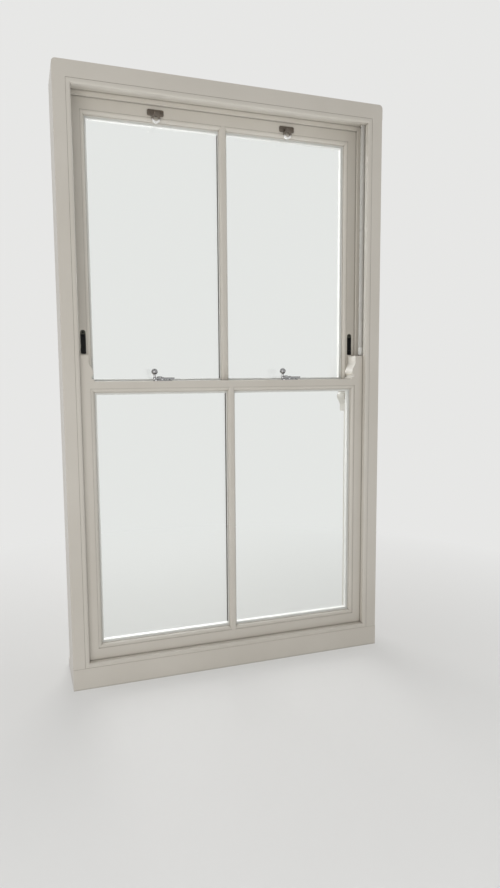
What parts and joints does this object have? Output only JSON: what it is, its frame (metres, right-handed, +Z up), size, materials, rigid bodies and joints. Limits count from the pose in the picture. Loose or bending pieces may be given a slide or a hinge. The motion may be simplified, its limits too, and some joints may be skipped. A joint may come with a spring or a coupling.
{
  "type": "vertical sliding sash window",
  "caption": "Timber vertical sliding sash window in its frame, each sash divided by a glazing bar, with ogee horns, spiral balances, ball fasteners and pole eyes.",
  "frame": {"origin": "middle of the frame's underside, halfway between the room face and the sill's nose", "axes": "+X to the right as seen from the room, +Y outwards through the window, +Z up"},
  "size_m": [1.034, 0.203, 1.818],
  "materials": {
    "painted_timber": "satin",
    "glass": "polished",
    "spacer": "matte",
    "balance_tube": "satin",
    "nylon": "satin",
    "rod_steel": "satin",
    "chrome": "polished",
    "black_metal": "satin"
  },
  "bodies": {
    "frame": {"balance_tube_lower_left": "balance_tube", "balance_tube_lower_right": "balance_tube", "balance_tube_upper_left": "balance_tube", "balance_tube_upper_right": "balance_tube", "bottom_board": "painted_timber", "head": "painted_timber", "jamb_left": "painted_timber", "jamb_right": "painted_timber", "outer_lining_head": "painted_timber", "outer_lining_left": "painted_timber", "outer_lining_right": "painted_timber", "parting_bead_head": "painted_timber", "parting_bead_left": "painted_timber", "parting_bead_right": "painted_timber", "sill": "painted_timber", "staff_bead_bottom": "painted_timber", "staff_bead_head": "painted_timber", "staff_bead_left": "painted_timber", "staff_bead_right": "painted_timber"},
    "lower_sash": {"balance_rod_lower_left": "rod_steel", "balance_rod_lower_right": "rod_steel", "fastener_bases": "chrome", "lower_bottom_rail": "painted_timber", "lower_glass": "glass", "lower_glazing_bar": "painted_timber", "lower_glazing_beads": "painted_timber", "lower_meeting_rail": "painted_timber", "lower_outer_bar": "painted_timber", "lower_spacer": "spacer", "lower_stile_left": "painted_timber", "lower_stile_right": "painted_timber"},
    "upper_sash": {"balance_rod_upper_left": "rod_steel", "balance_rod_upper_right": "rod_steel", "fastener_keeps": "chrome", "pole_eyes": "chrome", "restrictor_cases": "black_metal", "upper_glass": "glass", "upper_glazing_bar": "painted_timber", "upper_glazing_beads": "painted_timber", "upper_meeting_rail": "painted_timber", "upper_outer_bar": "painted_timber", "upper_spacer": "spacer", "upper_stile_left": "painted_timber", "upper_stile_right": "painted_timber", "upper_top_rail": "painted_timber"},
    "fastener_arm_left": {"fastener_arm_left": "chrome"},
    "fastener_arm_right": {"fastener_arm_right": "chrome"},
    "restrictor_tongue_left": {"restrictor_tongue_left": "black_metal"},
    "restrictor_tongue_right": {"restrictor_tongue_right": "black_metal"},
    "balance_bush_lower_left": {"balance_bush_lower_left": "nylon"},
    "balance_bush_lower_right": {"balance_bush_lower_right": "nylon"},
    "balance_bush_upper_left": {"balance_bush_upper_left": "nylon"},
    "balance_bush_upper_right": {"balance_bush_upper_right": "nylon"}
  },
  "joints": [
    {"name": "lower_sash_slide", "type": "slide", "parent": "frame", "child": "lower_sash", "axis": [0, 0, 1], "range_m": [0, 0.68]},
    {"name": "upper_sash_slide", "type": "slide", "parent": "frame", "child": "upper_sash", "axis": [0, 0, -1], "range_m": [0, 0.68]},
    {"name": "fastener_swing_left", "type": "hinge", "parent": "lower_sash", "child": "fastener_arm_left", "pos_m": [-0.214, -0.0435, 0.938], "axis": [0, 0, 1], "range_deg": [0, 90]},
    {"name": "restrictor_tip_left", "type": "hinge", "parent": "upper_sash", "child": "restrictor_tongue_left", "pos_m": [-0.448, -0.0115, 1.068], "axis": [1, 0, 0], "range_deg": [-25, 0]},
    {"name": "fastener_swing_right", "type": "hinge", "parent": "lower_sash", "child": "fastener_arm_right", "pos_m": [0.214, -0.0435, 0.938], "axis": [0, 0, 1], "range_deg": [0, 90]},
    {"name": "restrictor_tip_right", "type": "hinge", "parent": "upper_sash", "child": "restrictor_tongue_right", "pos_m": [0.448, -0.0115, 1.068], "axis": [1, 0, 0], "range_deg": [-25, 0]},
    {"name": "balance_bush_lower_left_turn", "type": "hinge", "parent": "frame", "child": "balance_bush_lower_left", "pos_m": [-0.4728, -0.054, 1.028], "axis": [0, 0, 1], "range_deg": [-2450, 0]},
    {"name": "balance_bush_lower_right_turn", "type": "hinge", "parent": "frame", "child": "balance_bush_lower_right", "pos_m": [0.4728, -0.054, 1.028], "axis": [0, 0, 1], "range_deg": [-2450, 0]},
    {"name": "balance_bush_upper_left_turn", "type": "hinge", "parent": "frame", "child": "balance_bush_upper_left", "pos_m": [-0.4728, 0.009, 1.028], "axis": [0, 0, 1], "range_deg": [0, 2450]},
    {"name": "balance_bush_upper_right_turn", "type": "hinge", "parent": "frame", "child": "balance_bush_upper_right", "pos_m": [0.4728, 0.009, 1.028], "axis": [0, 0, 1], "range_deg": [0, 2450]}
  ],
  "couplings": [
    {"joint": "balance_bush_lower_left_turn", "follows": "lower_sash_slide", "rad_per_m": -62.832},
    {"joint": "balance_bush_lower_right_turn", "follows": "lower_sash_slide", "rad_per_m": -62.832},
    {"joint": "balance_bush_upper_left_turn", "follows": "upper_sash_slide", "rad_per_m": 62.832},
    {"joint": "balance_bush_upper_right_turn", "follows": "upper_sash_slide", "rad_per_m": 62.832}
  ]
}
